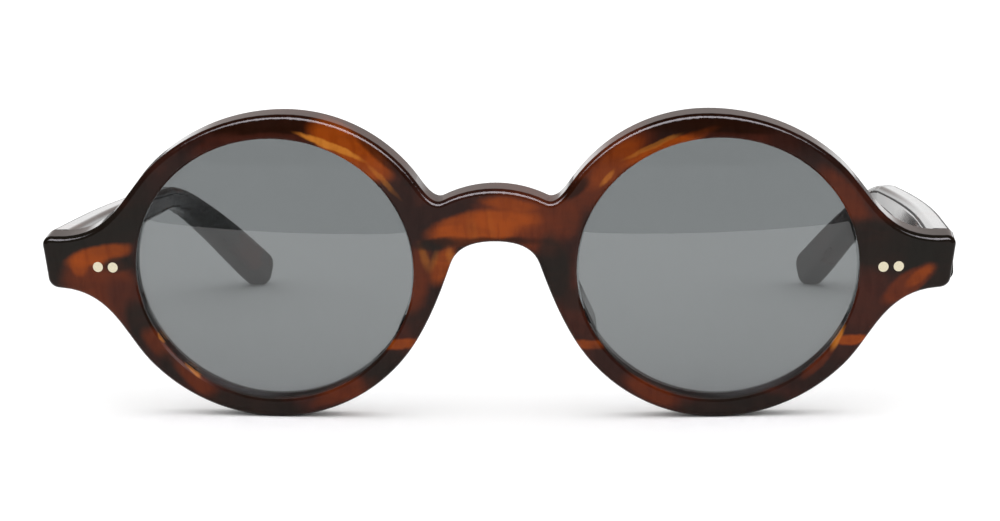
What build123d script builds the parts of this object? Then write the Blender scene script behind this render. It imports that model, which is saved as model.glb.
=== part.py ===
from build123d import *
import os
from math import asin, atan2, cos, degrees, hypot, radians, sin, sqrt, tan

# Round acetate sunglasses: one bent front with two tinted lenses in grooves, glued nose
# pads, and two temples on five-barrel hinges that are riveted through the acetate.
# Lengths are in millimetres and angles in degrees.
#
# The front is drawn looking at its face: x to the right and v up from the lens centres,
# with y going back from the face at the bridge. In the temple frame the hinge axes stand
# upright, the temples run back along Y, and the front is tilted by its pantoscopic angle.
# What comes in pairs is drawn once, at +X, which is the wearer's left, and mirrored.
# At the end the whole pair is pitched until it stands on its rims and temple tips.

# The front
front_thickness = 6.6
front_curve = 380.0           # radius of the face, seen from above
pantoscopic_angle = 7.1
opening_width = 44.0
opening_height = 41.6
rim_top = 3.8                 # width of the rim's face, above the lens
rim_bottom = 2.85
rim_shift = 2.1               # how far its top stands nearer the bridge than the lens centre
rim_upper_inner = 5.15        # towards the bridge, above the lens centres
rim_upper_outer = 4.0
rim_lower_inner = 3.3
rim_lower_outer = 4.3
edge_round = 0.9              # rounding of the outer edge, on the face and on the back
opening_bevel = 0.35

# The bridge
bridge_width = 25.4           # between the openings
bridge_height = 8.4           # from its top to the arch below
bridge_drop = 11.5            # from the rims' tops to its top
bridge_crown = 18.1           # radius of its top
crown_margin = 4.65           # from the end of that round top to the opening beside it
notch_angle = 144.5           # where the notch beside the bridge runs into the rim
shoulder_margin = 6.15        # the arch's shoulder and foot, from the opening beside them
shoulder_drop = 2.75          # and below the arch's top
foot_margin = 5.45
foot_drop = 4.45
nose_side_angle = -152.0      # where the nose opening's side runs into the rim

# The end pieces
end_reach = 11.3              # how far they stand out from the rims
end_top = 4.3
end_bottom = -3.85            # at the outer corner
end_slant = 1.2               # how far the outer edge leans in, from top to bottom
end_fall_angle = 4.5          # how the bottom edge falls towards the rim
end_flat = 2.4                # straight run of the top and bottom edges, from the corner
flare_top_angle = 41.0        # where the flares leave the rim
flare_bottom_angle = -41.0
end_top_round = 1.4
end_bottom_round = 1.8

# The nose pads
pad_length = 13.0
pad_width = 3.6
pad_depth = 6.0               # behind the back of the front
pad_tip_width = 2.0
pad_tip_length = 9.5
pad_lap = 1.2                 # how far a pad laps onto the nose wall
pad_proud = 0.15
pad_drop = 1.1                # from the arch's foot to a pad's upper end
pad_round = 0.8

# The lenses
lens_thickness = 2.0
lens_curve = 130.0            # radius of the front surface
bevel_depth = 0.5
bevel_half = 0.87             # half the width of the bevel
bevel_setback = 2.8           # from the face to the bevel, above and below the lens
lens_clearance = 0.05

# The hinges
barrel_radius = 1.4
knuckle = 1.25                # height of one knuckle
knuckle_gap = 0.05
hinge_drop = 0.45             # below the middle of the end piece
leaf_thickness = 1.1
leaf_height = 4.6
leaf_round = 1.0              # corners of the leaves
front_leaf_reach = 6.9        # from the hinge axis towards the lens
front_leaf_sink = 0.15        # at the end next to the lens
temple_leaf_length = 12.0
temple_leaf_sink = 0.7
leaf_clearance = 0.05
running_clearance = 0.15      # between the temple's knuckles and the front leaf
screw_radius = 0.7
screw_clearance = 0.04
screw_head_radius = 1.15
screw_head_height = 0.55
screw_slot_width = 0.3
screw_slot_depth = 0.25
screw_tail = 0.2

# The rivets
rivet_radius = 0.8
rivet_head_radius = 1.1
rivet_head_height = 0.35
rivet_head_round = 0.25
front_rivet_first = 3.1       # from the hinge axis
front_rivet_pitch = 2.4
temple_rivet_first = 5.4      # behind the hinge axis
temple_rivet_pitch = 5.0
rivet_proud = 0.03

# The temples
temple_thickness = 4.2
temple_inset = 0.3            # from the end piece's outer corner to the outer face
butt_gap = 0.1                # between a temple's end and the end piece
hinge_offset = 1.6            # from the hinge axis to the temple's inner face
temple_neck = 4.1             # height where the temple starts to bend down
bend_start = 96.0             # from the butt end
ear_radius = 46.0
ear_drop = 28.5               # how far the temple turns down
tip_run = 22.5                # from the end of the bend to where the tip turns round
tip_height = 6.4
tip_reach = 2.9               # how much further the tip's end is
tip_cut = 0.4                 # and how much further its lower corner
tip_round = 2.4
temple_round = 1.3
bow_start = 28.5
bow_turn = 5.8                # how far the temple bows inwards, up to the bend
hook_turn = 15.0              # how much more it turns inwards along the tip
hook_length = 23.0

# The core wires
wire_height = 2.2
wire_thickness = 1.2
wire_start = 20.0             # from the butt end
wire_clearance = 0.02

overrun = 2.0                 # how far a cutter runs past what it cuts
tiny = 0.001
seam = 0.01                   # how closely the two rounded parts of a half have to meet

half_width = opening_width / 2
half_height = opening_height / 2
half_bridge = bridge_width / 2
half_lens = half_bridge + half_width
rim_height = opening_height + rim_top + rim_bottom
corner = half_lens + half_width + rim_upper_outer + end_reach
bridge_top = half_height + rim_top - bridge_drop
arch_top = bridge_top - bridge_height
crown_half = half_bridge - crown_margin
arch_foot = (half_bridge - foot_margin, arch_top - foot_drop)
tilt = radians(pantoscopic_angle)
inner_curve = front_curve - front_thickness
end_middle = (end_top + end_bottom) / 2


def face_at(x):
    # Depth of the face, from the face at the bridge
    return front_curve - sqrt(front_curve ** 2 - x ** 2)


def back_at(x):
    return front_curve - sqrt(inner_curve ** 2 - x ** 2)


temple_outer = corner - temple_inset
temple_inner = temple_outer - temple_thickness
hinge_x = temple_inner - hinge_offset
butt_y = back_at(temple_inner) * cos(tilt) - end_top * sin(tilt)
hinge_v = end_middle - hinge_drop
leaf_seat = back_at(hinge_x - front_leaf_reach) - front_leaf_sink
leaf_back = leaf_seat + leaf_thickness
leaf_back_y = leaf_back * cos(tilt) + (leaf_height / 2 - hinge_v) * sin(tilt)
hinge_y = leaf_back_y + barrel_radius + running_clearance
hinge_z = hinge_y * tan(tilt) + hinge_v / cos(tilt)
temple_z = butt_y * tan(tilt) + end_middle / cos(tilt)
end_height = end_top - end_bottom
hinge_height = 5 * knuckle + 4 * knuckle_gap


def tilted(shape):
    return Rot(pantoscopic_angle, 0, 0) * shape


def other_side(shape):
    return mirror(shape, about=Plane.YZ)


def rim_quarter(side, edge, shift):
    # A quarter of the rim's outer edge, as the centre and half axes of its ellipse
    return (half_lens - shift, half_width + side, half_height + edge)


upper_inner = rim_quarter(rim_upper_inner - rim_shift, rim_top, rim_shift)
upper_outer = rim_quarter(rim_upper_outer + rim_shift, rim_top, rim_shift)
lower_inner = rim_quarter(rim_lower_inner, rim_bottom, 0)
lower_outer = rim_quarter(rim_lower_outer, rim_bottom, 0)


def rim_point(quarter, angle):
    # A point of the rim's outer edge, the level point above or below the lens, and the
    # clockwise heading at the first on the arc that joins the two
    middle, across, up = quarter
    turn = radians(angle)
    side = 1 if angle > 0 else -1
    point = (middle + across * cos(turn), up * sin(turn))
    level = (middle, side * up)
    run = level[0] - point[0]
    rise = level[1] - point[1]
    return point, level, (side * (run ** 2 - rise ** 2), side * 2 * run * rise)


def crown_point(x):
    return (x, bridge_top - bridge_crown + sqrt(bridge_crown ** 2 - x ** 2))


def front_outline():
    # The right half, clockwise from the top of the bridge
    crown_end = crown_point(crown_half)
    crown_turn = asin(crown_half / bridge_crown)
    crown_way = (cos(crown_turn), -sin(crown_turn))
    notch_end, inner_top, notch_way = rim_point(upper_inner, notch_angle)
    high_start, outer_top, high_way = rim_point(upper_outer, flare_top_angle)
    low_start, outer_bottom, low_way = rim_point(lower_outer, flare_bottom_angle)
    nose_start, inner_bottom, nose_way = rim_point(lower_inner, nose_side_angle)
    shoulder = (half_bridge - shoulder_margin, arch_top - shoulder_drop)
    fall = radians(end_fall_angle)
    high_end = (corner - end_flat, end_top)
    low_corner = (corner - end_slant, end_bottom)
    low_end = (low_corner[0] - end_flat * cos(fall), end_bottom - end_flat * sin(fall))
    edges = [
        ThreePointArc((0, bridge_top), crown_point(crown_half / 2), crown_end),
        Spline(crown_end, notch_end, tangents=[crown_way, notch_way]),
        TangentArc(notch_end, inner_top, tangent=notch_way),
        TangentArc(outer_top, high_start, tangent=(1, 0)),
        Spline(high_start, high_end, tangents=[high_way, (1, 0)]),
        FilletPolyline(high_end, (corner, end_top), low_corner, low_end,
                       radius=[end_top_round, end_bottom_round]),
        Spline(low_end, low_start, tangents=[(-cos(fall), -sin(fall)), low_way]),
        TangentArc(low_start, outer_bottom, tangent=low_way),
        TangentArc(inner_bottom, nose_start, tangent=(-1, 0)),
        Spline(nose_start, arch_foot, shoulder, (0, arch_top), tangents=[nose_way, (-1, 0)]),
        Line((0, arch_top), (0, bridge_top)),
    ]
    return make_face(Curve() + edges)


def extrude_back(face, start, depth):
    # A face drawn with its v up, carried to the given depth and extruded backwards
    return extrude(Pos(0, start, 0) * (Plane.XZ * face), amount=depth, dir=(0, 1, 0))


def bent_slab():
    tall = 2 * (rim_height + overrun)
    slab = Cylinder(front_curve, tall) - Cylinder(inner_curve, tall)
    return Pos(0, front_curve, 0) * slab


def edges_on(shape, radius):
    # The edges that lie on the face or on the back, by the radius of that surface,
    # without the straight cuts at the bridge and through the middle of the lens
    found = []
    for edge in shape.edges():
        middle = edge.position_at(0.5)
        start = edge.position_at(0)
        off_middle = abs(hypot(middle.X, middle.Y - front_curve) - radius)
        off_start = abs(hypot(start.X, start.Y - front_curve) - radius)
        off_cuts = min(abs(middle.X), abs(middle.X - half_lens))
        if max(off_middle, off_start) < tiny and off_cuts > tiny:
            found.append(edge)
    return found


def opening_shape():
    return Pos(half_lens, 0) * Ellipse(half_width, half_height)


def lens_place():
    # The lens lies square to the bent front, on its bevel's plane
    turn = degrees(asin(half_lens / front_curve))
    return Pos(half_lens, face_at(half_lens) + bevel_setback, 0) * Rot(0, 0, turn)


def bevel_ring(apex, foot, half):
    # The lens outline with a V-shaped edge: apex and foot are added to the opening's size
    sections = []
    for place, extra in ((-half, foot), (0, apex), (half, foot)):
        shape = Ellipse(half_width + extra, half_height + extra)
        sections.append(Pos(0, place, 0) * (Plane.XZ * shape))
    return loft(sections, ruled=True)


def left_lens():
    rim_sag = lens_curve - sqrt(lens_curve ** 2 - half_width ** 2)
    vertex = -rim_sag - lens_thickness / 2
    centre = Pos(0, vertex + lens_curve, 0)
    bowl = centre * Sphere(lens_curve) - centre * Sphere(lens_curve - lens_thickness)
    plug_shape = Ellipse(half_width - lens_clearance, half_height - lens_clearance)
    plug = extrude_back(plug_shape, vertex - overrun, rim_sag + lens_thickness + 2 * overrun)
    edge = bevel_ring(bevel_depth, -lens_clearance, bevel_half)
    return lens_place() * ((plug + edge) & bowl)


def left_groove():
    return lens_place() * bevel_ring(bevel_depth + lens_clearance,
                                     -lens_clearance, bevel_half + 2 * lens_clearance)


def pad_section(length, width, depth):
    # The pad follows the side of the nose opening, and its lens side runs straight back
    side_end = rim_point(lower_inner, nose_side_angle)[0]
    run = (side_end[0] - arch_foot[0], side_end[1] - arch_foot[1])
    size = hypot(run[0], run[1])
    along = (run[0] / size, run[1] / size)
    out = (-along[1], along[0])
    down = pad_length / 2 - pad_drop / along[1]
    off = pad_width - width / 2 - pad_proud
    centre = (arch_foot[0] + along[0] * down + out[0] * off,
              depth, arch_foot[1] + along[1] * down + out[1] * off)
    plane = Plane(origin=centre, x_dir=(along[0], 0, along[1]), z_dir=(0, -1, 0))
    return plane * SlotOverall(length, width)


def left_pad(front_body):
    back = back_at(arch_foot[0])
    pad = loft([
        pad_section(pad_length, pad_width, back - pad_lap),
        pad_section(pad_length, pad_width, back + pad_lap / 2),
        pad_section(pad_tip_length, pad_tip_width, back + pad_depth),
    ])
    tip = pad.faces().sort_by(Axis.Y)[-1]
    pad = fillet(tip.edges(), pad_round)
    return tilted(pad) - front_body


def knuckles(levels, radius):
    found = []
    for level in levels:
        low = hinge_z - hinge_height / 2 + level * (knuckle + knuckle_gap)
        found.append(Pos(hinge_x, hinge_y, low + knuckle / 2) * Cylinder(radius, knuckle))
    return found


def block(low, high):
    size = [high[i] - low[i] for i in range(3)]
    middle = [(high[i] + low[i]) / 2 for i in range(3)]
    return Pos(*middle) * Box(*size)


def arms(levels, low_xy, high_xy):
    found = []
    for level in levels:
        low = hinge_z - hinge_height / 2 + level * (knuckle + knuckle_gap)
        found.append(block((low_xy[0], low_xy[1], low), (high_xy[0], high_xy[1], low + knuckle)))
    return found


def screw_hole(radius):
    tall = hinge_height + 2 * overrun
    return Pos(hinge_x, hinge_y, hinge_z) * Cylinder(radius, tall)


def front_rivet_places():
    return [hinge_x - front_rivet_first, hinge_x - front_rivet_first - front_rivet_pitch]


def front_rivet_shaft(x, radius, start, end):
    return tilted(extrude_back(Pos(x, hinge_v) * Circle(radius), start, end - start))


def arm_start():
    # Where the arms to the barrel begin, inside the leaf's plate
    return leaf_seat * cos(tilt) - hinge_v * sin(tilt) + leaf_thickness / 2


def front_hinge_leaf():
    # Plate, three knuckles and the arms that join them, bored for the screw and rivets
    levels = (0, 2, 4)
    plate = tilted(block(
        (hinge_x - front_leaf_reach, leaf_seat, hinge_v - leaf_height / 2),
        (hinge_x, leaf_back, hinge_v + leaf_height / 2)))
    near = [edge for edge in plate.edges().filter_by(Axis((0, 0, 0), (0, cos(tilt), sin(tilt))))
            if edge.center().X < hinge_x - front_leaf_reach / 2]
    leaf = fillet(near, leaf_round)
    for piece in knuckles(levels, barrel_radius):
        leaf = leaf + piece
    for piece in arms(levels, (hinge_x - barrel_radius, arm_start()),
                      (hinge_x + barrel_radius / 2, hinge_y)):
        leaf = leaf + piece
    leaf = leaf - screw_hole(screw_radius)
    for x in front_rivet_places():
        leaf = leaf - front_rivet_shaft(x, rivet_radius, leaf_seat - overrun, leaf_back + overrun)
    return leaf


def front_seat():
    # What is milled out of the end piece: a bed for the leaf and a taller slot for the barrel
    bed = tilted(block(
        (hinge_x - front_leaf_reach - leaf_clearance, leaf_seat,
         hinge_v - leaf_height / 2 - leaf_clearance),
        (hinge_x + barrel_radius + leaf_clearance, leaf_back + overrun,
         hinge_v + leaf_height / 2 + leaf_clearance)))
    slot = block(
        (hinge_x - barrel_radius - leaf_clearance, arm_start() - leaf_clearance,
         hinge_z - hinge_height / 2 - leaf_clearance),
        (hinge_x + barrel_radius + leaf_clearance, butt_y + overrun,
         hinge_z + hinge_height / 2 + leaf_clearance))
    return bed + slot


def front_rivet(x):
    shaft = front_rivet_shaft(x, rivet_radius, face_at(x) - overrun, leaf_back)
    rise = extrude_back(front_outline(), -rivet_proud, back_at(corner) + overrun)
    rise = rise & Pos(0, -rivet_proud, 0) * Pos(0, front_curve, 0) * Cylinder(
        front_curve, 2 * rim_height)
    shaft = shaft & tilted(rise)
    head = Pos(x, 0, hinge_v) * Pos(0, leaf_back, 0) * Rot(-90, 0, 0) * extrude(
        Circle(rivet_head_radius), amount=rivet_head_height)
    top = head.faces().sort_by(Axis.Y)[-1]
    head = fillet(top.edges(), rivet_head_round)
    return shaft + tilted(head)


def hinge_screw():
    top = hinge_z + hinge_height / 2
    bottom = hinge_z - hinge_height / 2 - screw_tail
    shaft = Pos(hinge_x, hinge_y, (top + bottom) / 2) * Cylinder(screw_radius, top - bottom)
    head = Pos(hinge_x, hinge_y, top + screw_head_height / 2) * Cylinder(
        screw_head_radius, screw_head_height)
    crown = head.faces().sort_by(Axis.Z)[-1]
    head = fillet(crown.edges(), screw_head_height / 2)
    slot_top = top + screw_head_height
    slot = block(
        (hinge_x - screw_slot_width / 2, hinge_y - screw_head_radius - overrun,
         slot_top - screw_slot_depth),
        (hinge_x + screw_slot_width / 2, hinge_y + screw_head_radius + overrun,
         slot_top + overrun))
    return shaft + head - slot


def rounded_part(blank, start, end):
    # What lies between two upright cuts, with the edges of its face and back rounded
    part = blank & block((start, -overrun, -rim_height), (end, front_curve, rim_height))
    outer_edges = edges_on(part, front_curve) + edges_on(part, inner_curve)
    return fillet(outer_edges, edge_round)


def front_half():
    reach = back_at(corner) + 2 * overrun
    blank = extrude_back(front_outline(), -overrun, reach) & bent_slab()
    inner_part = rounded_part(blank, 0, half_lens)
    outer_part = rounded_part(blank, half_lens, corner + overrun)
    hole = extrude_back(opening_shape(), -overrun, reach)
    half = inner_part.fuse(outer_part, tol=seam) - hole
    ring = [edge for edge in edges_on(half, front_curve)
            if abs(edge.center().X - half_lens) < half_width]
    return chamfer(ring, opening_bevel)


def front():
    body = tilted(front_half() - left_groove())
    mitre = block(
        (hinge_x - barrel_radius - leaf_clearance, butt_y, temple_z - end_height - overrun),
        (corner + overrun, butt_y + front_thickness + overrun,
         temple_z + end_height + overrun))
    cutters = [mitre, front_seat()]
    for x in front_rivet_places():
        cutters.append(front_rivet_shaft(x, rivet_radius, face_at(x) - overrun,
                                         leaf_back + overrun))
    for cutter in cutters:
        body = body - cutter
    return body + other_side(body)


def temple_stations():
    # The side view: y behind the butt end and z over its middle
    rise = (end_height - temple_neck) / 2
    turn = radians(ear_drop)
    bend = (bend_start, rise)
    bend_end = (bend_start + ear_radius * sin(turn), rise - ear_radius * (1 - cos(turn)))
    tip = (bend_end[0] + tip_run * cos(turn), bend_end[1] - tip_run * sin(turn))
    return bend, bend_end, tip, (cos(turn), -sin(turn))


def temple_side():
    bend, bend_end, tip, way = temple_stations()
    up = (-way[1], way[0])
    neck = temple_neck / 2
    heel = tip_height / 2
    mid_half = (neck + neck + heel) / 3
    top_bend = (bend[0], bend[1] + neck)
    low_bend = (bend[0], bend[1] - neck)
    top_mid = (bend_end[0] + up[0] * mid_half, bend_end[1] + up[1] * mid_half)
    low_mid = (bend_end[0] - up[0] * mid_half, bend_end[1] - up[1] * mid_half)
    top_tip = (tip[0] + up[0] * heel, tip[1] + up[1] * heel)
    low_tip = (tip[0] - up[0] * heel, tip[1] - up[1] * heel)
    low_reach = tip_reach + tip_cut
    top_end = (top_tip[0] + way[0] * tip_reach, top_tip[1] + way[1] * tip_reach)
    low_end = (low_tip[0] + way[0] * low_reach, low_tip[1] + way[1] * low_reach)
    low_way = (bend_start, end_height - temple_neck)
    edges = [
        Line((0, -end_height / 2), (0, end_height / 2)),
        Line((0, end_height / 2), top_bend),
        Spline(top_bend, top_mid, top_tip, tangents=[(1, 0), way]),
        FilletPolyline(top_tip, top_end, low_end, low_tip, radius=tip_round),
        Spline(low_tip, low_mid, low_bend,
               tangents=[(-way[0], -way[1]), (-low_way[0], -low_way[1])]),
        Line(low_bend, (0, -end_height / 2)),
    ]
    return make_face(Curve() + edges)


def temple_plan(start):
    # The line that the temple's middle follows, seen from above, x inwards being negative
    middle = temple_outer - temple_thickness / 2
    bow_radius = (bend_start - bow_start) / sin(radians(bow_turn))
    hook_radius = hook_length / radians(hook_turn)
    first = Line((middle, start), (middle, bow_start))
    bow = JernArc(first @ 1, first % 1, bow_radius, bow_turn)
    hook = JernArc(bow @ 1, bow % 1, hook_radius, hook_turn)
    last = Line(hook @ 1, (hook @ 1) + (hook % 1) * (tip_run + tip_height))
    return [first, bow, hook, last]


def plan_wall(start, width):
    band = trace(Curve() + temple_plan(start), line_width=width)
    tall = 2 * (end_height + ear_radius)
    return extrude(Pos(0, 0, -tall / 2) * band, amount=tall)


def side_wall(face):
    return extrude(Plane.YZ * face, amount=corner + overrun)


def temple_blank():
    body = side_wall(temple_side()) & plan_wall(-overrun, temple_thickness)
    long_edges = [edge for edge in body.edges() if edge.center().Y > tiny * temple_thickness]
    return fillet(long_edges, temple_round)


def wire(clearance):
    bend, bend_end, tip, way = temple_stations()
    path = [Line((wire_start - clearance, bend[1] * wire_start / bend[0]), bend),
            Spline(bend, bend_end, tip, tangents=[(bend[0], bend[1]), way])]
    strip = trace(Curve() + path, line_width=wire_height + 2 * clearance)
    return side_wall(strip) & plan_wall(0, wire_thickness + 2 * clearance)


def on_temple(shape):
    return Pos(0, butt_y + butt_gap, temple_z) * shape


def temple_leaf_start():
    return hinge_y + barrel_radius + running_clearance


def temple_leaf_end():
    return temple_leaf_start() + temple_leaf_length


def temple_rivet_places():
    return [hinge_y + temple_rivet_first, hinge_y + temple_rivet_first + temple_rivet_pitch]


def temple_rivet_shaft(y, start, end):
    return extrude(Plane(origin=(start, y, hinge_z), z_dir=(1, 0, 0)) * Circle(rivet_radius),
                   amount=end - start)


def temple_hinge_leaf():
    levels = (1, 3)
    face = temple_inner + temple_leaf_sink
    plate = block((face - leaf_thickness, temple_leaf_start(), hinge_z - leaf_height / 2),
                  (face, temple_leaf_end(), hinge_z + leaf_height / 2))
    far = [edge for edge in plate.edges().filter_by(Axis.X)
           if edge.center().Y > temple_leaf_end() - tiny * temple_leaf_length]
    leaf = fillet(far, leaf_round)
    for piece in knuckles(levels, barrel_radius):
        leaf = leaf + piece
    for piece in arms(levels, (hinge_x, hinge_y),
                      (face, temple_leaf_start() + leaf_thickness)):
        leaf = leaf + piece
    leaf = leaf - screw_hole(screw_radius + screw_clearance)
    for y in temple_rivet_places():
        leaf = leaf - temple_rivet_shaft(y, face - leaf_thickness - overrun, face + overrun)
    return leaf


def temple_seat():
    return block((temple_inner - overrun, butt_y - overrun,
                  hinge_z - hinge_height / 2 - leaf_clearance),
                 (temple_inner + temple_leaf_sink, temple_leaf_end() + leaf_clearance,
                  hinge_z + hinge_height / 2 + leaf_clearance))


def temple():
    body = on_temple(temple_blank() - wire(wire_clearance)) - temple_seat()
    for y in temple_rivet_places():
        body = body - temple_rivet_shaft(y, temple_inner - overrun, temple_outer + overrun)
    return body


def temple_rivet(y):
    inner = temple_inner + temple_leaf_sink - leaf_thickness
    shaft = temple_rivet_shaft(y, inner, temple_outer + rivet_proud)
    head = Plane(origin=(inner, y, hinge_z), z_dir=(-1, 0, 0)) * extrude(
        Circle(rivet_head_radius), amount=rivet_head_height)
    crown = head.faces().sort_by(Axis.X)[0]
    head = fillet(crown.edges(), rivet_head_round)
    return shaft + head


def standing(front_piece, temple_piece):
    # The pitch that brings the rims and the temple tips down to one level
    pitch = 0
    for step in range(6):
        turned = Rot(pitch, 0, 0)
        front_box = (turned * front_piece).bounding_box()
        temple_box = (turned * temple_piece).bounding_box()
        drop = temple_box.min.Z - front_box.min.Z
        run = temple_box.max.Y - front_box.max.Y
        pitch = pitch - degrees(atan2(drop, run))
    return pitch


def main():
    nodes = {}
    nodes["front"] = front()
    pad = left_pad(nodes["front"])
    lens = tilted(left_lens())
    pairs = {
        "nose_pad": pad,
        "lens": lens,
        "front_hinge_leaf": front_hinge_leaf(),
        "hinge_screw": hinge_screw(),
        "front_outer_rivet": front_rivet(front_rivet_places()[0]),
        "front_inner_rivet": front_rivet(front_rivet_places()[1]),
        "temple": temple(),
        "temple_core_wire": on_temple(wire(0)),
        "temple_hinge_leaf": temple_hinge_leaf(),
        "temple_first_rivet": temple_rivet(temple_rivet_places()[0]),
        "temple_second_rivet": temple_rivet(temple_rivet_places()[1]),
    }
    for name, piece in pairs.items():
        nodes["left_" + name] = piece
        nodes["right_" + name] = other_side(piece)

    pitch = standing(nodes["front"], nodes["left_temple"])
    turned = {name: Rot(pitch, 0, 0) * piece for name, piece in nodes.items()}
    boxes = [piece.bounding_box() for piece in turned.values()]
    low_y = min(box.min.Y for box in boxes)
    high_y = max(box.max.Y for box in boxes)
    low_z = min(box.min.Z for box in boxes)
    shift = Pos(0, -(low_y + high_y) / 2, -low_z)
    os.makedirs("parts", exist_ok=True)
    for name, piece in turned.items():
        export_step(shift * piece, "parts/" + name + ".step")
    place = shift * Rot(pitch, 0, 0)
    hinge = place * Pos(hinge_x, hinge_y, hinge_z)
    print("pitch", round(pitch, 3), "hinge point", hinge.position,
          "axis", (0, -sin(radians(pitch)), cos(radians(pitch))))
    print("depth", high_y - low_y)


main()
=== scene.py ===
import math

import bmesh
import bpy
from mathutils import Matrix, Vector

# Round acetate sunglasses on a white table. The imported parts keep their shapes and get
# their acetate, tint and metals here; the floor, the light and the camera are the studio.

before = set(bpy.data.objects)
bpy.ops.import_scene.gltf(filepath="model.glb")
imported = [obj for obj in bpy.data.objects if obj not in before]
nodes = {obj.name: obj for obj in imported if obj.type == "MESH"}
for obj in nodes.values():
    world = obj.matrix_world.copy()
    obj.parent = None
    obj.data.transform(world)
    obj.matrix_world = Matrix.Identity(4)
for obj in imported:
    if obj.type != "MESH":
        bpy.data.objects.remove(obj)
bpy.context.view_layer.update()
scene = bpy.context.scene

studio = {
    "floorSize": 8.0,
    "floorColour": (0.98, 0.98, 0.98, 1),
    "white": 1.3,           # the sky is over white, so only close shadows show
}


# Small helpers for node trees

def newMaterial(name):
    material = bpy.data.materials.new(name)
    material.use_nodes = True
    tree = material.node_tree
    tree.nodes.clear()
    return material, tree


def addNode(tree, kind, place, **settings):
    node = tree.nodes.new(kind)
    node.location = place
    for key, value in settings.items():
        setattr(node, key, value)
    return node


def feed(tree, socket, value):
    # A number or a colour is set on the socket, anything else is wired to it
    if isinstance(value, (int, float, tuple, list)):
        socket.default_value = value
    else:
        tree.links.new(value, socket)


def wire(tree, node, **values):
    # Feeds sockets by their names with the spaces left out: Base Color is baseColor
    names = {}
    for socket in node.inputs:
        if socket.enabled:
            names.setdefault(socket.name.replace(" ", "").lower(), socket)
    for key, value in values.items():
        feed(tree, names[key.lower()], value)
    return node


def useGroup(tree, group, place, **values):
    # A shared effect with its own values
    return wire(tree, addNode(tree, "ShaderNodeGroup", place, node_tree=group), **values)


def mathNode(tree, operation, first, second, place):
    node = addNode(tree, "ShaderNodeMath", place, operation=operation)
    feed(tree, node.inputs[0], first)
    feed(tree, node.inputs[1], second)
    return node.outputs[0]


def vectorNode(tree, operation, first, second, place):
    node = addNode(tree, "ShaderNodeVectorMath", place, operation=operation)
    feed(tree, node.inputs[0], first)
    feed(tree, node.inputs[1], second)
    return node.outputs[0]


def mixColour(tree, factor, first, second, place, blend="MIX"):
    node = addNode(tree, "ShaderNodeMix", place, data_type="RGBA", blend_type=blend)
    feed(tree, node.inputs[0], factor)
    feed(tree, node.inputs[6], first)
    feed(tree, node.inputs[7], second)
    return node.outputs[2]


def noiseNode(tree, place, **values):
    return wire(tree, addNode(tree, "ShaderNodeTexNoise", place), **values)


def softRamp(tree, place, **values):
    ramp = addNode(tree, "ShaderNodeMapRange", place, interpolation_type="SMOOTHSTEP")
    return wire(tree, ramp, **values).outputs["Result"]


def objectPoint(tree, place):
    return addNode(tree, "ShaderNodeTexCoord", place).outputs["Object"]


def makeOutput(tree, shader, kind="ShaderNodeOutputMaterial"):
    output = addNode(tree, kind, (shader.location[0] + 300, shader.location[1]))
    tree.links.new(shader.outputs[0], output.inputs["Surface"])


def linear(red, green, blue):
    # A colour given as it looks on screen, 0 to 255
    def channel(value):
        value = value / 255
        return value / 12.92 if value <= 0.04045 else ((value + 0.055) / 1.055) ** 2.4
    return (channel(red), channel(green), channel(blue), 1.0)


def underLight(red, green, blue):
    # The paint that looks like this colour in the studio, which is over white
    seen = linear(red, green, blue)
    return tuple(value / studio["white"] for value in seen[:3]) + (1.0,)


def toned(colour, share):
    return tuple(value * share for value in colour[:3]) + (1.0,)


def newGroup(name, inputs, outputs):
    group = bpy.data.node_groups.new(name, "ShaderNodeTree")
    for label, kind, value in inputs:
        socket = group.interface.new_socket(label, in_out="INPUT", socket_type=kind)
        if value is not None:
            socket.default_value = value
    for label, kind in outputs:
        group.interface.new_socket(label, in_out="OUTPUT", socket_type=kind)
    start = addNode(group, "NodeGroupInput", (-900, 0))
    end = addNode(group, "NodeGroupOutput", (900, 0))
    return group, start.outputs, end


# Shared effects

noises = {
    "flow": {"detail": 4.0, "roughness": 0.62},
    "cloud": {"detail": 4.0, "roughness": 0.5, "distortion": 0.4},
    "polish": {"detail": 3.0, "roughness": 0.6},
    "middle": (0.5, 0.5, 0.5),      # what a noise gives on the whole
}


def makeFlowGroup():
    # The pattern's points, pushed about as the coloured sheets ran into each other
    group, start, end = newGroup(
        "flow",
        [("Point", "NodeSocketVector", None),
         ("Amount", "NodeSocketFloat", 0.002),
         ("Scale", "NodeSocketFloat", 120.0)],
        [("Point", "NodeSocketVector")])
    noise = noiseNode(group, (-600, -150), vector=start["Point"], scale=start["Scale"],
                      **noises["flow"])
    away = vectorNode(group, "SUBTRACT", noise.outputs["Color"], noises["middle"],
                      (-350, -150))
    push = addNode(group, "ShaderNodeVectorMath", (-100, -150), operation="SCALE")
    wire(group, push, vector=away, scale=start["Amount"])
    moved = vectorNode(group, "ADD", start["Point"], push.outputs[0], (200, 0))
    wire(group, end, point=moved)
    return group


def makeCloudGroup():
    # Soft clouds: 1 in the middle of a cloud, 0 between the clouds
    group, start, end = newGroup(
        "cloud",
        [("Point", "NodeSocketVector", None),
         ("Stretch", "NodeSocketVector", (1, 1, 1)),
         ("Scale", "NodeSocketFloat", 100.0),
         ("Low", "NodeSocketFloat", 0.4),
         ("High", "NodeSocketFloat", 0.6)],
        [("Mask", "NodeSocketFloat")])
    drawn = vectorNode(group, "MULTIPLY", start["Point"], start["Stretch"], (-600, 0))
    noise = noiseNode(group, (-300, 0), vector=drawn, scale=start["Scale"], **noises["cloud"])
    mask = softRamp(group, (200, 0), value=noise.outputs["Fac"],
                    fromMin=start["Low"], fromMax=start["High"])
    wire(group, end, mask=mask)
    return group


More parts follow.
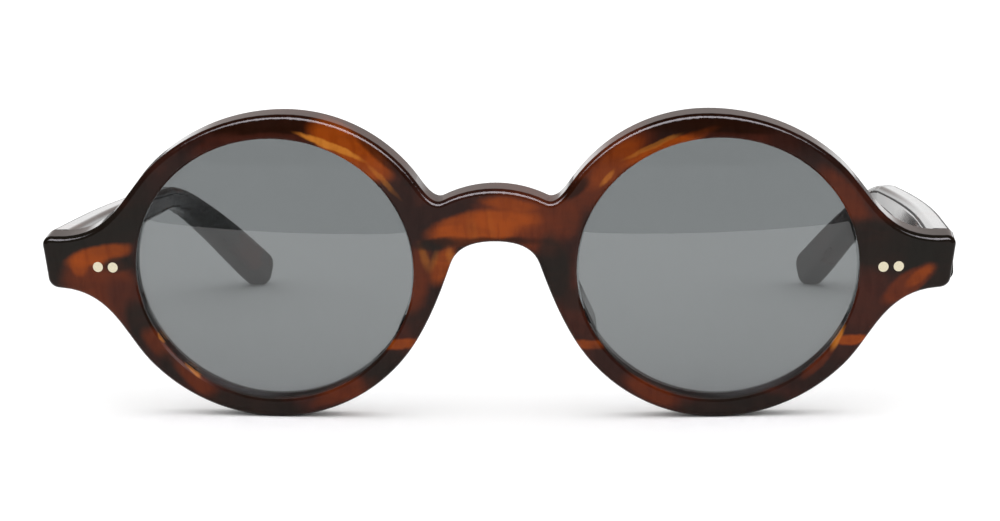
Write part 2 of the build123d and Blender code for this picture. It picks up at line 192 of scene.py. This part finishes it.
def makeBlotchGroup():
    # One soft-edged blotch: 1 in the middle, 0 outside
    group, start, end = newGroup(
        "blotch",
        [("Point", "NodeSocketVector", None),
         ("Middle", "NodeSocketVector", (0, 0, 0)),
         ("Size", "NodeSocketVector", (0.01, 0.01, 0.01)),
         ("Turn", "NodeSocketFloat", 0.0),
         ("Soft", "NodeSocketFloat", 0.35)],
        [("Mask", "NodeSocketFloat")])
    away = vectorNode(group, "SUBTRACT", start["Point"], start["Middle"], (-700, 100))
    turned = addNode(group, "ShaderNodeVectorRotate", (-500, 100), rotation_type="Y_AXIS")
    wire(group, turned, vector=away, angle=start["Turn"])
    shared = vectorNode(group, "DIVIDE", turned.outputs[0], start["Size"], (-300, 100))
    length = addNode(group, "ShaderNodeVectorMath", (-100, 100), operation="LENGTH")
    wire(group, length, vector=shared)
    inner = mathNode(group, "SUBTRACT", 1.0, start["Soft"], (100, -200))
    outer = mathNode(group, "ADD", 1.0, start["Soft"], (100, -350))
    mask = softRamp(group, (400, 50), value=length.outputs["Value"], fromMin=inner,
                    fromMax=outer, toMin=1.0, toMax=0.0)
    wire(group, end, mask=mask)
    return group


def makePolishGroup():
    # How evenly a surface was polished: its roughness, and its faint waves for a bump
    group, start, end = newGroup(
        "polish",
        [("Point", "NodeSocketVector", None),
         ("Scale", "NodeSocketFloat", 600.0),
         ("Smooth", "NodeSocketFloat", 0.05),
         ("Dull", "NodeSocketFloat", 0.1)],
        [("Roughness", "NodeSocketFloat"), ("Height", "NodeSocketFloat")])
    noise = noiseNode(group, (-500, 0), vector=start["Point"], scale=start["Scale"],
                      **noises["polish"])
    ramp = addNode(group, "ShaderNodeMapRange", (0, 0))
    height = noise.outputs["Fac"]
    wire(group, ramp, value=height, toMin=start["Smooth"], toMax=start["Dull"])
    wire(group, end, roughness=ramp.outputs["Result"], height=height)
    return group


print("shared effects")
flowGroup = makeFlowGroup()
cloudGroup = makeCloudGroup()
blotchGroup = makeBlotchGroup()
polishGroup = makePolishGroup()

# The tortoise acetate

millimetres = 1000              # in a metre
columnWidth = 200               # between the steps of a pattern in the node editor

acetate = {
    "tones": {
        "ink": underLight(27, 24, 20),
        "shade": underLight(34, 15, 7),
        "dark": underLight(42, 24, 20),
        "brown": underLight(66, 31, 22),
        "red": underLight(100, 42, 18),
        "amber": underLight(156, 69, 13),
        # honey streaks, and also the painted glints where light shines through the rims'
        # inner edges
        "honey": underLight(196, 120, 44),
    },
    "flow": {"amount": 0.0013, "scale": 190.0},     # how far the colours ran, in metres
    "clouds": {"scale": 75.0, "low": 0.38, "high": 0.62},
    "streaks": {"scale": 260.0, "low": 0.35, "high": 0.75},
    "streakStretch": (0.5, 1.0, 1.6),               # beside the clouds' own
    "streakDepth": 0.3,
    "grainDepth": 0.25,                             # how far the streaks break a blotch up
    "softShare": 0.75,                              # of a blotch's own softness
    "patchWay": (1, 2, 3),                          # along which a patch's noise is shifted
    "veins": {"stretch": (1.5, 1.0, 0.35), "scale": 620.0, "low": 0.42, "high": 0.72},
    "veinDepth": 0.35,
    "veinColour": (0.5, 0.36, 0.3, 1),
    "polish": {"scale": 420.0, "smooth": 0.05, "dull": 0.11},
    "waves": {"strength": 0.5, "distance": 0.000005},
    "surface": {"ior": 1.49, "specularIorLevel": 0.12},
}

# The front's pattern with a few painted glints, a glow and reflections, as it looks from
# before the glasses: across and up, in millimetres.
# tone, middle, half length and half width, turn, softness, strength; later ones lie on top
frontPattern = {
    "stretch": (1.0, 1.0, 1.2),
    "depth": (-0.068, 0.03),    # the middle and half the depth of every blotch, in metres
    "blotches": [
        # the end piece on the viewer's left
        ("ink", (-68.5, 24.5), (4.2, 8.0), 0, 0.25, 0.95),
        ("ink", (-60.5, 29.5), (10.0, 3.2), 12, 0.4, 0.9),
        ("red", (-62.6, 20.4), (6.0, 5.2), -30, 0.35, 0.9),
        ("brown", (-58.0, 18.0), (4.5, 3.0), -45, 0.5, 0.8),
        ("amber", (-62.6, 25.4), (5.2, 1.5), 14, 0.35, 0.8),
        ("amber", (-65.8, 23.7), (1.5, 1.7), 0, 0.4, 0.55),
        ("ink", (-59.6, 24.1), (2.6, 1.2), 10, 0.5, 0.85),
        ("dark", (-56.4, 25.8), (1.0, 2.2), 0, 0.5, 0.8),
        # down the outside of that rim
        ("ink", (-55.2, 14.4), (4.4, 2.6), -50, 0.4, 0.85),
        ("red", (-53.0, 11.4), (3.2, 1.8), -40, 0.45, 0.8),
        # a painted glint: light shining through the rim's inner edge
        ("honey", (-52.9, 12.3), (0.45, 0.9), 30, 0.5, 0.9),
        ("ink", (-51.0, 7.6), (1.4, 3.2), 40, 0.5, 0.7),
        ("red", (-47.4, 5.6), (4.4, 1.3), -42, 0.5, 0.8),
        # another painted glint of light through the rim's inner edge
        ("honey", (-48.0, 7.2), (1.5, 0.35), -40, 0.5, 0.8),
        ("ink", (-38.0, 1.4), (8.5, 2.4), -8, 0.35, 0.85),
        ("red", (-23.6, 4.2), (5.2, 1.6), 22, 0.45, 0.9),
        ("ink", (-17.4, 7.6), (4.4, 2.6), 44, 0.4, 0.85),
        ("amber", (-14.6, 11.9), (3.6, 0.8), 6, 0.45, 0.75),
        ("ink", (-11.6, 15.2), (2.0, 3.4), 25, 0.5, 0.6),
        # its upper half
        ("ink", (-57.2, 33.0), (3.4, 4.6), -20, 0.5, 0.6),
        ("shade", (-35.5, 46.4), (11.5, 1.9), 2, 0.35, 0.95),
        # a painted reflection of the floor: a lighter band along the inner top of the rim
        ("brown", (-36.0, 44.3), (6.6, 0.8), 2, 0.5, 0.85),
        ("brown", (-44.0, 43.0), (4.2, 1.2), 26, 0.5, 0.8),
        ("amber", (-22.2, 42.4), (7.4, 3.0), -34, 0.25, 0.85),
        ("honey", (-25.3, 43.1), (5.4, 0.55), -22, 0.4, 0.95),
        ("shade", (-17.8, 42.0), (5.6, 0.9), -42, 0.5, 0.75),
        ("honey", (-16.9, 37.6), (3.4, 0.4), -48, 0.5, 0.4),
        ("dark", (-13.8, 33.8), (4.0, 1.8), -58, 0.4, 0.7),
        # the bridge
        ("red", (-12.2, 22.4), (2.2, 5.2), -12, 0.5, 0.85),
        ("amber", (-8.0, 24.6), (1.5, 3.4), -22, 0.5, 0.75),
        ("honey", (-10.9, 25.6), (0.6, 2.0), 14, 0.8, 0.3),
        ("honey", (-9.4, 25.2), (0.5, 1.8), -16, 0.8, 0.2),
        ("honey", (-6.9, 26.0), (0.6, 1.3), 12, 0.8, 0.3),
        ("red", (3.6, 31.6), (6.5, 4.4), 0, 0.4, 0.95),
        ("amber", (-1.6, 30.6), (8.6, 2.6), 8, 0.3, 0.9),
        ("honey", (-3.4, 30.0), (0.7, 2.4), 10, 0.8, 0.09),
        ("honey", (-0.6, 30.8), (0.5, 2.6), 8, 0.8, 0.06),
        ("red", (6.6, 28.4), (4.0, 2.2), -20, 0.5, 0.8),
        ("dark", (-9.0, 33.0), (5.2, 1.6), 14, 0.3, 0.85),
        ("ink", (-9.2, 27.8), (3.2, 0.9), 8, 0.45, 0.8),
        ("shade", (-0.6, 28.2), (8.4, 0.8), 0, 0.6, 0.8),
        # amber of the pattern reaching the bridge's top edge, and a painted glow under its
        # highlight
        ("amber", (2.4, 34.2), (4.2, 0.9), -6, 0.5, 0.6),
        ("ink", (9.3, 24.0), (2.6, 5.6), 8, 0.35, 0.9),
        ("red", (11.2, 31.6), (2.4, 3.0), -10, 0.5, 0.75),
        # the rim on the viewer's right, upper half
        ("red", (17.6, 39.2), (8.6, 3.2), 46, 0.5, 0.8),
        ("amber", (18.8, 40.6), (5.6, 1.9), 44, 0.4, 0.4),
        ("shade", (12.6, 36.4), (2.6, 1.1), 40, 0.4, 0.9),
        ("amber", (27.4, 43.0), (7.4, 1.0), 22, 0.35, 0.8),
        ("honey", (24.6, 43.0), (4.6, 0.4), 24, 0.5, 0.4),
        ("honey", (17.5, 38.2), (1.6, 0.4), 48, 0.5, 0.45),
        ("shade", (35.0, 46.4), (13.0, 1.9), -2, 0.35, 0.95),
        # a painted reflection of the floor: a lighter band along the inner top of the rim
        ("brown", (37.0, 44.3), (6.6, 0.7), -3, 0.5, 0.7),
        ("dark", (46.5, 42.4), (5.0, 2.2), -35, 0.45, 0.7),
        ("red", (54.2, 34.8), (5.6, 2.0), -52, 0.4, 0.65),
        ("ink", (60.6, 26.8), (8.8, 4.2), -14, 0.3, 0.9),
        ("ink", (68.2, 24.0), (4.2, 6.4), 0, 0.25, 0.95),
        ("red", (64.4, 20.8), (4.8, 1.7), 34, 0.3, 0.95),
        ("amber", (66.2, 22.0), (2.4, 0.9), 36, 0.5, 0.6),
        # and its lower half
        ("ink", (12.9, 18.6), (2.4, 2.2), -20, 0.5, 0.6),
        ("brown", (13.4, 15.4), (2.8, 1.8), -30, 0.5, 0.7),
        ("amber", (14.9, 11.9), (3.2, 0.8), -4, 0.45, 0.75),
        ("dark", (18.6, 8.2), (4.8, 2.6), -42, 0.4, 0.8),
        ("red", (24.2, 4.4), (4.6, 1.5), -26, 0.45, 0.85),
        ("ink", (37.6, 1.6), (9.5, 2.2), 2, 0.35, 0.85),
        ("brown", (56.2, 17.4), (3.4, 4.2), 20, 0.5, 0.8),
        ("amber", (55.6, 12.0), (2.8, 0.75), 2, 0.45, 0.8),
        # a painted glint: light shining through the rim's inner edge
        ("honey", (53.4, 12.2), (0.5, 2.0), -28, 0.5, 0.8),
        ("red", (50.2, 8.4), (3.4, 0.8), 44, 0.5, 0.7),
    ],
}

# The other pieces' patterns are clouds of a tone: its low and high, scale, shift, strength
templePattern = {
    "stretch": (0.9, 0.5, 1.3),
    "patches": [
        ("ink", 0.32, 0.5, 60.0, 0.13, 0.9),
        ("red", 0.56, 0.68, 75.0, 0.37, 0.65),
        ("amber", 0.64, 0.72, 85.0, 0.71, 0.75),
    ],
}

padPattern = {
    "stretch": (1, 1, 1),
    "patches": [("red", 0.5, 0.7, 160.0, 0.21, 0.6)],
}


def tortoise(name, stretch, patches=(), blotches=(), depth=None):
    material, tree = newMaterial(name)
    tones = acetate["tones"]
    still = objectPoint(tree, (-2800, 0))
    point = useGroup(tree, flowGroup, (-2600, 0), point=still,
                     **acetate["flow"]).outputs["Point"]

    def clouded(place, **values):
        return useGroup(tree, cloudGroup, place, **values).outputs["Mask"]

    def times(first, second, place):
        return mathNode(tree, "MULTIPLY", first, second, place)

    clouds = clouded((-2300, 200), point=point, stretch=stretch, **acetate["clouds"])
    drawn = tuple(own * more for own, more in zip(stretch, acetate["streakStretch"]))
    streaks = clouded((-2300, -100), point=point, stretch=drawn, **acetate["streaks"])
    colour = mixColour(tree, clouds, tones["dark"], tones["brown"], (-1900, 0))
    faint = times(streaks, acetate["streakDepth"], (-1900, -300))
    colour = mixColour(tree, faint, colour, tones["ink"], (-1700, 0))
    place = -1500
    for tone, low, high, scale, shift, strength in patches:
        way = tuple(shift * step for step in acetate["patchWay"])
        moved = vectorNode(tree, "ADD", point, way, (place, -300))
        spot = clouded((place, -500), point=moved, stretch=stretch, scale=scale, low=low,
                       high=high)
        factor = times(spot, strength, (place, -700))
        colour = mixColour(tree, factor, colour, tones[tone], (place, 0))
        place += columnWidth
    for tone, (across, up), (length, width), turn, soft, strength in blotches:
        spot = useGroup(tree, blotchGroup, (place, -300), point=point,
                        middle=(across / millimetres, depth[0], up / millimetres),
                        size=(length / millimetres, depth[1], width / millimetres),
                        turn=math.radians(turn), soft=soft * acetate["softShare"])
        grain = times(streaks, acetate["grainDepth"], (place, -500))
        grain = mathNode(tree, "SUBTRACT", 1.0, grain, (place, -600))
        factor = times(spot.outputs["Mask"], grain, (place, -700))
        factor = times(factor, strength, (place, -800))
        colour = mixColour(tree, factor, colour, tones[tone], (place, 0))
        place += columnWidth

    veins = clouded((place - columnWidth, 400), point=point, **acetate["veins"])
    dimmed = times(veins, acetate["veinDepth"], (place, 400))
    colour = mixColour(tree, dimmed, colour, acetate["veinColour"],
                       (place + columnWidth, 200), "MULTIPLY")
    polish = useGroup(tree, polishGroup, (place, -1000), point=still, **acetate["polish"])
    bump = addNode(tree, "ShaderNodeBump", (place + columnWidth, -1000))
    wire(tree, bump, height=polish.outputs["Height"], **acetate["waves"])
    shader = addNode(tree, "ShaderNodeBsdfPrincipled", (place + 2 * columnWidth, 0))
    wire(tree, shader, baseColor=colour, roughness=polish.outputs["Roughness"],
         normal=bump.outputs["Normal"], **acetate["surface"])
    makeOutput(tree, shader)
    return material


print("acetate")
frontAcetate = tortoise("frontAcetate", **frontPattern)
templeAcetate = tortoise("templeAcetate", **templePattern)
padAcetate = tortoise("padAcetate", **padPattern)

# Tint and metals

lens = {
    "tint": underLight(129, 133, 134),
    "palerShare": 1.03,
    "clouds": {"scale": 30.0, "low": 0.2, "high": 0.8},
    "surface": {"roughness": 0.0, "ior": 1.58, "transmissionWeight": 1.0},
}


def tintedLens():
    material, tree = newMaterial("lensTint")
    depth = useGroup(tree, cloudGroup, (-600, 0), point=objectPoint(tree, (-900, 0)),
                     **lens["clouds"])
    paler = toned(lens["tint"], lens["palerShare"])
    tint = mixColour(tree, depth.outputs["Mask"], lens["tint"], paler, (-300, 0))
    shader = addNode(tree, "ShaderNodeBsdfPrincipled", (0, 0))
    wire(tree, shader, baseColor=tint, **lens["surface"])
    makeOutput(tree, shader)
    return material


brushing = {
    "darkerShare": 0.75,
    "lines": {"strength": 0.4, "distance": 0.00002},
}

# colour, how the brushing's points are stretched, and its scale and roughness
metals = {
    "hingeMetal": (linear(196, 190, 178), (1, 1, 0.2),
                   {"scale": 3000.0, "smooth": 0.2, "dull": 0.42}),
    "screwSteel": (linear(205, 205, 203), (1, 0.2, 1),
                   {"scale": 4500.0, "smooth": 0.15, "dull": 0.35}),
    "rivetMetal": (linear(221, 212, 185), (1, 1, 1),
                   {"scale": 5000.0, "smooth": 0.1, "dull": 0.2}),
}


def brushedMetal(name, colour, stretch, finish):
    material, tree = newMaterial(name)
    drawn = vectorNode(tree, "MULTIPLY", objectPoint(tree, (-1100, 0)), stretch, (-900, 0))
    polish = useGroup(tree, polishGroup, (-700, -100), point=drawn, **finish)
    darker = toned(colour, brushing["darkerShare"])
    shade = mixColour(tree, polish.outputs["Height"], darker, colour, (-400, 200))
    bump = addNode(tree, "ShaderNodeBump", (-400, -300))
    wire(tree, bump, height=polish.outputs["Height"], **brushing["lines"])
    shader = addNode(tree, "ShaderNodeBsdfPrincipled", (0, 0))
    wire(tree, shader, baseColor=shade, roughness=polish.outputs["Roughness"],
         normal=bump.outputs["Normal"], metallic=1.0)
    makeOutput(tree, shader)
    return material


print("tint and metals")
lensTint = tintedLens()
brushed = {name: brushedMetal(name, *metal) for name, metal in metals.items()}

finishes = {
    "hinge_leaf": brushed["hingeMetal"],
    "screw": brushed["screwSteel"],
    "rivet": brushed["rivetMetal"],
    "wire": brushed["hingeMetal"],
    "nose_pad": padAcetate,
    "lens": lensTint,
    "temple": templeAcetate,
    "front": frontAcetate,
}

for name, node in nodes.items():
    finish = next(finishes[ending] for ending in finishes if name.endswith(ending))
    for slot in node.material_slots:
        slot.material = finish
    print(name, finish.name, len(node.data.polygons))


# The studio

def addMesh(name, shape, material):
    mesh = bpy.data.meshes.new(name)
    shape.to_mesh(mesh)
    shape.free()
    mesh.materials.append(material)
    piece = bpy.data.objects.new(name, mesh)
    scene.collection.objects.link(piece)
    return piece


def makeFloor():
    shape = bmesh.new()
    bmesh.ops.create_grid(shape, x_segments=1, y_segments=1, size=studio["floorSize"] / 2)
    material, tree = newMaterial("floorWhite")
    shader = addNode(tree, "ShaderNodeBsdfDiffuse", (0, 0))
    wire(tree, shader, color=studio["floorColour"])
    makeOutput(tree, shader)
    addMesh("floor", shape, material)


# Where the white table ends for reflections, before the glasses and behind them
table = {
    "front": -0.225,
    "back": 0.3,
    "length": 4.4,
    "width": 9.0,
    "above": 0.0006,        # its cards lie just above the floor
}

cards = {
    "softbox": {
        "middle": (0, -0.72, 0.68),
        "size": (2.4, 0.8),
        "face": (0, 0.72, -0.68),
        "strength": 38.0,
        "colour": (0.97, 0.93, 1.0, 1),
        "soft": 0.45,
    },
    "darkTable": {
        "middle": (0, table["front"] - table["length"] / 2, table["above"]),
        "size": (table["width"], table["length"]),
        "face": (0, 0, 1),
        "strength": 0.01,
    },
    "greyTable": {
        "middle": (0, table["back"] + table["length"] / 2, table["above"]),
        "size": (table["width"], table["length"]),
        "face": (0, 0, 1),
        "strength": 0.2,
    },
}


def makeCard(name, middle, size, face, strength, colour=(1, 1, 1, 1), soft=None):
    # A flat card that only reflections see, with a soft edge where soft is given
    width, length = size
    shape = bmesh.new()
    bmesh.ops.create_grid(shape, x_segments=1, y_segments=1, size=1 / 2)   # a unit square
    bmesh.ops.scale(shape, vec=(width, length, 1), verts=shape.verts)
    turn = Vector(face).to_track_quat("Z", "Y").to_matrix().to_4x4()
    bmesh.ops.transform(shape, matrix=Matrix.Translation(middle) @ turn, verts=shape.verts)
    material, tree = newMaterial(name)
    shader = addNode(tree, "ShaderNodeEmission", (0, 0))
    wire(tree, shader, color=colour, strength=strength)
    if soft is not None:
        across = width / 2 / (1 + soft)
        along = length / 2 / (1 + soft)
        spot = useGroup(tree, blotchGroup, (-450, 0), point=objectPoint(tree, (-700, 0)),
                        middle=middle, size=(across, along, along), soft=soft)
        glow = mixColour(tree, spot.outputs["Mask"], (0, 0, 0, 1), colour, (-200, 0))
        wire(tree, shader, color=glow)
    makeOutput(tree, shader)
    card = addMesh(name, shape, material)
    card.visible_camera = False
    card.visible_diffuse = False
    card.visible_transmission = False
    card.visible_shadow = False


sky = {
    "colour": (1, 1, 1, 1),
    "frontGlow": 0.012,                     # what polished faces see before the glasses
    "backGlow": 1.4,                        # and behind them
    "back": (0.5, 0.98),                    # how far back the one goes over into the other
    "upperGlow": (0.42, 0.375, 0.36, 1),    # how much of that is left above the horizon
    "rise": (0.04, 0.13),                   # how high up that starts and ends
}


def makeSky():
    # White all round, but reflections see it fall off towards the front
    world = bpy.data.worlds.new("studioSky")
    scene.world = world
    world.use_nodes = True
    tree = world.node_tree
    tree.nodes.clear()
    coords = addNode(tree, "ShaderNodeTexCoord", (-1000, -100))
    parts = addNode(tree, "ShaderNodeSeparateXYZ", (-800, -100))
    wire(tree, parts, vector=coords.outputs["Generated"])
    backward = softRamp(tree, (-600, -100), value=parts.outputs["Y"],
                        fromMin=sky["back"][0], fromMax=sky["back"][1],
                        toMin=sky["frontGlow"], toMax=sky["backGlow"])
    upward = softRamp(tree, (-600, -350), value=parts.outputs["Z"],
                      fromMin=sky["rise"][0], fromMax=sky["rise"][1])
    tone = mixColour(tree, upward, sky["colour"], sky["upperGlow"], (-450, -350))
    path = addNode(tree, "ShaderNodeLightPath", (-600, 200))
    bright = addNode(tree, "ShaderNodeBackground", (-300, 100))
    wire(tree, bright, color=sky["colour"], strength=studio["white"])
    seen = addNode(tree, "ShaderNodeBackground", (-300, -100))
    wire(tree, seen, color=tone, strength=backward)
    mix = addNode(tree, "ShaderNodeMixShader", (0, 0))
    feed(tree, mix.inputs[0], path.outputs["Is Glossy Ray"])
    feed(tree, mix.inputs[1], bright.outputs[0])
    feed(tree, mix.inputs[2], seen.outputs[0])
    makeOutput(tree, mix, "ShaderNodeOutputWorld")


view = {
    "aim": (-0.00287, 0, 0.01481),
    "distance": 0.7,
    "azimuth": 2.79,
    "elevation": 7.835,
    "roll": -0.44,
    "lens": 144.53,
    "sensor": 36.0,
    "near": 0.01,
    "far": 50,
}


def makeCamera():
    turn = math.radians(view["azimuth"])
    rise = math.radians(view["elevation"])
    back = Vector((math.sin(turn) * math.cos(rise), -math.cos(turn) * math.cos(rise),
                   math.sin(rise)))
    right = Vector((math.cos(turn), math.sin(turn), 0))
    up = back.cross(right)
    data = bpy.data.cameras.new("camera")
    data.lens = view["lens"]
    data.sensor_width = view["sensor"]
    data.sensor_fit = "HORIZONTAL"
    data.clip_start = view["near"]
    data.clip_end = view["far"]
    camera = bpy.data.objects.new("camera", data)
    rotation = Matrix((right, up, back)).transposed()
    roll = Matrix.Rotation(math.radians(view["roll"]), 3, back)
    place = Vector(view["aim"]) + back * view["distance"]
    camera.matrix_world = Matrix.Translation(place) @ (roll @ rotation).to_4x4()
    scene.collection.objects.link(camera)
    scene.camera = camera


print("studio")
makeFloor()
for name, card in cards.items():
    makeCard(name, **card)
makeSky()
makeCamera()
scene.view_settings.view_transform = "Standard"

print("done")
